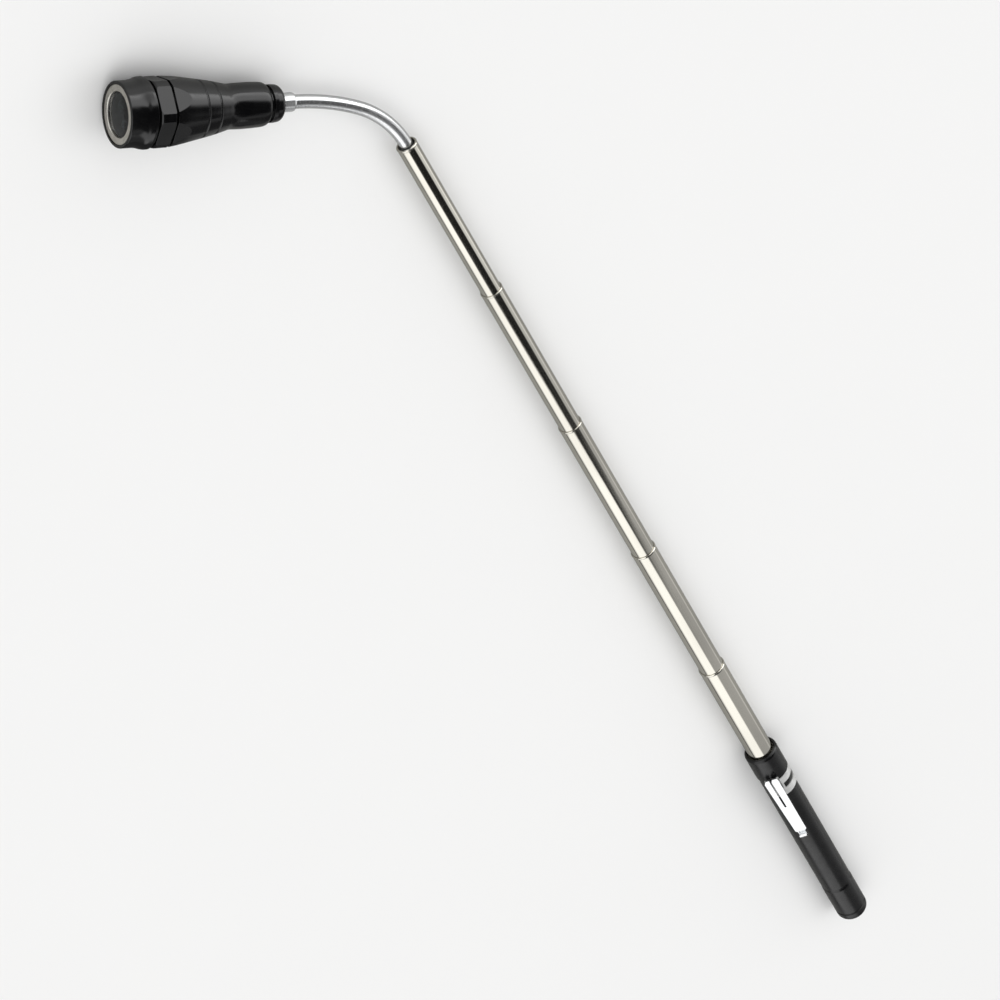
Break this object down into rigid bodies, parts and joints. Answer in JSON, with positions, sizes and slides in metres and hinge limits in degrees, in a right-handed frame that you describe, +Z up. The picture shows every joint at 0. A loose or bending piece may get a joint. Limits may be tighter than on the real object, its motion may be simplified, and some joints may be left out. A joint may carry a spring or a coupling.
{
  "type": "magnetic pickup tool",
  "caption": "Telescopic rod with a pocket-clip handle, a bendable chrome neck and a black lighted head that carries a ring magnet.",
  "frame": {"origin": "centre of the bounding box at table height, the tool lying on a table as stored", "axes": "+X along the rods from the head to the handle, -Y the side the neck bends the head to, +Z up"},
  "size_m": [0.507, 0.0842, 0.0223],
  "materials": {
    "black_anodised": "black anodised, satin gloss",
    "nickel_tube": "bright nickel plate, drawn along the tube",
    "bright_chrome": "polished chrome plate",
    "gooseneck": "chrome-plated flexible hose",
    "brass_shoe": "rolled spring brass",
    "spring_steel": "drawn spring wire",
    "mild_steel": "zinc-plated steel",
    "magnet_nickel": "nickel-plated sintered magnet, fine satin",
    "cell_can": "pressed and plated cell can",
    "black_plastic": "moulded black plastic",
    "board_green": "solder-masked circuit board",
    "led_epoxy": "clear moulded epoxy",
    "lens_clear": "clear domed window",
    "seal_rubber": "black nitrile rubber"
  },
  "bodies": {
    "handle": {"handle_sleeve": "black_anodised", "handle_collar": "black_anodised", "liner_tube": "nickel_tube", "clip_band": "bright_chrome", "end_cap": "black_anodised", "magnet_cup": "mild_steel", "base_magnet": "magnet_nickel"},
    "clip": {"clip_arm": "bright_chrome"},
    "stage_1": {"tube_1": "nickel_tube", "slide_shoe_1": "brass_shoe"},
    "stage_2": {"tube_2": "nickel_tube", "slide_shoe_2": "brass_shoe"},
    "stage_3": {"tube_3": "nickel_tube", "slide_shoe_3": "brass_shoe"},
    "stage_4": {"tube_4": "nickel_tube", "slide_shoe_4": "brass_shoe"},
    "stage_5_shoe": {"slide_shoe_5": "brass_shoe"},
    "stage_5": {"tube_5": "nickel_tube"},
    "neck_base": {"neck_bush": "black_plastic", "neck_root": "gooseneck"},
    "link_1": {"neck_link_1": "gooseneck"},
    "link_2": {"neck_link_2": "gooseneck"},
    "link_3": {"neck_link_3": "gooseneck"},
    "link_4": {"neck_link_4": "gooseneck"},
    "link_5": {"neck_link_5": "gooseneck"},
    "link_6": {"neck_link_6": "gooseneck"},
    "link_7": {"neck_link_7": "gooseneck"},
    "head": {"neck_link_8": "gooseneck", "neck_ferrule": "bright_chrome", "tail_cap": "black_plastic", "head_body": "black_anodised", "bezel_o_ring": "seal_rubber", "battery_spring": "spring_steel"},
    "light_unit": {"battery_sleeve": "black_plastic", "button_cell_1": "cell_can", "button_cell_2": "cell_can", "button_cell_3": "cell_can", "button_cell_4": "cell_can", "board_contact": "brass_shoe", "led_board": "board_green", "led_1": "led_epoxy", "led_2": "led_epoxy", "led_3": "led_epoxy", "led_holder": "black_plastic", "lens": "lens_clear", "lens_gasket": "seal_rubber"},
    "bezel": {"bezel": "black_anodised", "ring_magnet": "magnet_nickel", "magnet_backing": "mild_steel"}
  },
  "joints": [
    {"name": "tube_1_slide", "type": "slide", "parent": "handle", "child": "stage_1", "axis": [-1, 0, 0], "range_m": [-0.0493, 0.0209]},
    {"name": "tube_2_slide", "type": "slide", "parent": "stage_1", "child": "stage_2", "axis": [-1, 0, 0], "range_m": [-0.0658, 0.0044]},
    {"name": "tube_3_slide", "type": "slide", "parent": "stage_2", "child": "stage_3", "axis": [-1, 0, 0], "range_m": [-0.0658, 0.0044]},
    {"name": "tube_4_slide", "type": "slide", "parent": "stage_3", "child": "stage_4", "axis": [-1, 0, 0], "range_m": [-0.0658, 0.0044]},
    {"name": "tube_5_slide", "type": "slide", "parent": "stage_4", "child": "stage_5_shoe", "axis": [-1, 0, 0], "range_m": [-0.0658, 0.0044]},
    {"name": "tube_5_swivel", "type": "hinge", "parent": "stage_5_shoe", "child": "stage_5", "pos_m": [-0.13002, 0.03564, 0.00645], "axis": [-1, 0, 0], "continuous": true},
    {"name": "neck_slide", "type": "slide", "parent": "stage_5", "child": "neck_base", "axis": [-1, 0, 0], "range_m": [-0.0065, 0]},
    {"name": "neck_bend_1", "type": "hinge", "parent": "neck_base", "child": "link_1", "pos_m": [-0.17302, 0.03564, 0.00645], "axis": [0, 0.0743, 0.9972], "range_deg": [-9, 13.5]},
    {"name": "neck_bend_2", "type": "hinge", "parent": "link_1", "child": "link_2", "pos_m": [-0.17894, 0.03471, 0.00652], "axis": [0, 0.0743, 0.9972], "range_deg": [-9, 13.5]},
    {"name": "neck_bend_3", "type": "hinge", "parent": "link_2", "child": "link_3", "pos_m": [-0.18465, 0.03286, 0.00666], "axis": [0, 0.0743, 0.9972], "range_deg": [-9, 13.5]},
    {"name": "neck_bend_4", "type": "hinge", "parent": "link_3", "child": "link_4", "pos_m": [-0.18999, 0.03014, 0.00686], "axis": [0, 0.0743, 0.9972], "range_deg": [-9, 13.5]},
    {"name": "neck_bend_5", "type": "hinge", "parent": "link_4", "child": "link_5", "pos_m": [-0.19485, 0.02663, 0.00712], "axis": [0, 0.0743, 0.9972], "range_deg": [-4.25, 18.25]},
    {"name": "neck_bend_6", "type": "hinge", "parent": "link_5", "child": "link_6", "pos_m": [-0.19943, 0.02276, 0.00741], "axis": [0, 0.0743, 0.9972], "range_deg": [-4.25, 18.25]},
    {"name": "neck_bend_7", "type": "hinge", "parent": "link_6", "child": "link_7", "pos_m": [-0.20371, 0.01857, 0.00772], "axis": [0, 0.0743, 0.9972], "range_deg": [-4.25, 18.25]},
    {"name": "neck_bend_8", "type": "hinge", "parent": "link_7", "child": "head", "pos_m": [-0.20766, 0.01407, 0.00806], "axis": [0, 0.0743, 0.9972], "range_deg": [-4.25, 18.25]},
    {"name": "front_draw", "type": "slide", "parent": "head", "child": "light_unit", "axis": [-0.6018, -0.7964, 0.0594], "range_m": [0, 0.03]},
    {"name": "bezel_twist", "type": "hinge", "parent": "light_unit", "child": "bezel", "pos_m": [-0.24257, -0.03213, 0.0115], "axis": [-0.6018, -0.7964, 0.0594], "range_deg": [0, 90]},
    {"name": "clip_flex", "type": "hinge", "parent": "handle", "child": "clip", "pos_m": [0.15923, 0.0321, 0.0134], "axis": [0, -0.891, -0.454], "range_deg": [0, 5], "stiffness_Nm_per_rad": 0.25}
  ]
}
